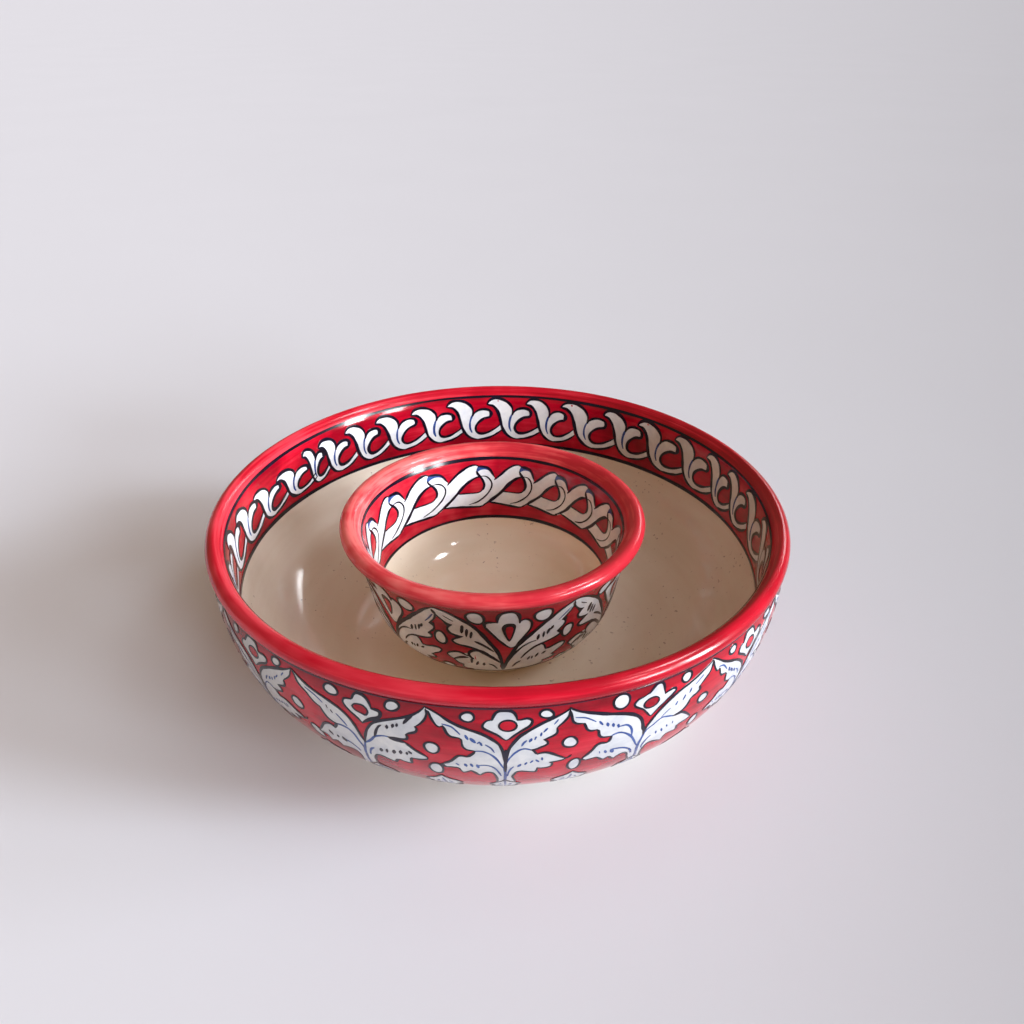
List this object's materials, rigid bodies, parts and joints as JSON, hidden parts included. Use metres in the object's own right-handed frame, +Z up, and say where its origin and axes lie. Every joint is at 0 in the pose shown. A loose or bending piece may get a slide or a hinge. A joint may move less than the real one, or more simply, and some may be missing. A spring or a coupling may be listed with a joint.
{
  "type": "chip and dip server",
  "caption": "Wide footed serving bowl with a small footed dip bowl standing loose on its floor; painted and glazed pottery with rolled lips.",
  "frame": {"origin": "on the table plane, under the middle of the chip bowl's foot ring", "axes": "+Z up along the chip bowl's axis, out of its mouth; -Y towards the person it is served to; +X to that person's right"},
  "size_m": [0.3, 0.3, 0.1065],
  "materials": {
    "red_glaze": "gloss",
    "dip_red_glaze": "gloss",
    "cream_glaze": "gloss",
    "white_paint": "gloss",
    "navy_line": "gloss",
    "bare_clay": "matt"
  },
  "bodies": {
    "chip": {"chip_bowl": "red_glaze"},
    "dip": {"dip_bowl": "dip_red_glaze"}
  },
  "joints": [
    {"name": "dip_lift", "type": "slide", "parent": "chip", "child": "dip", "axis": [0, 0, 1], "range_m": [0, 0.12]}
  ]
}
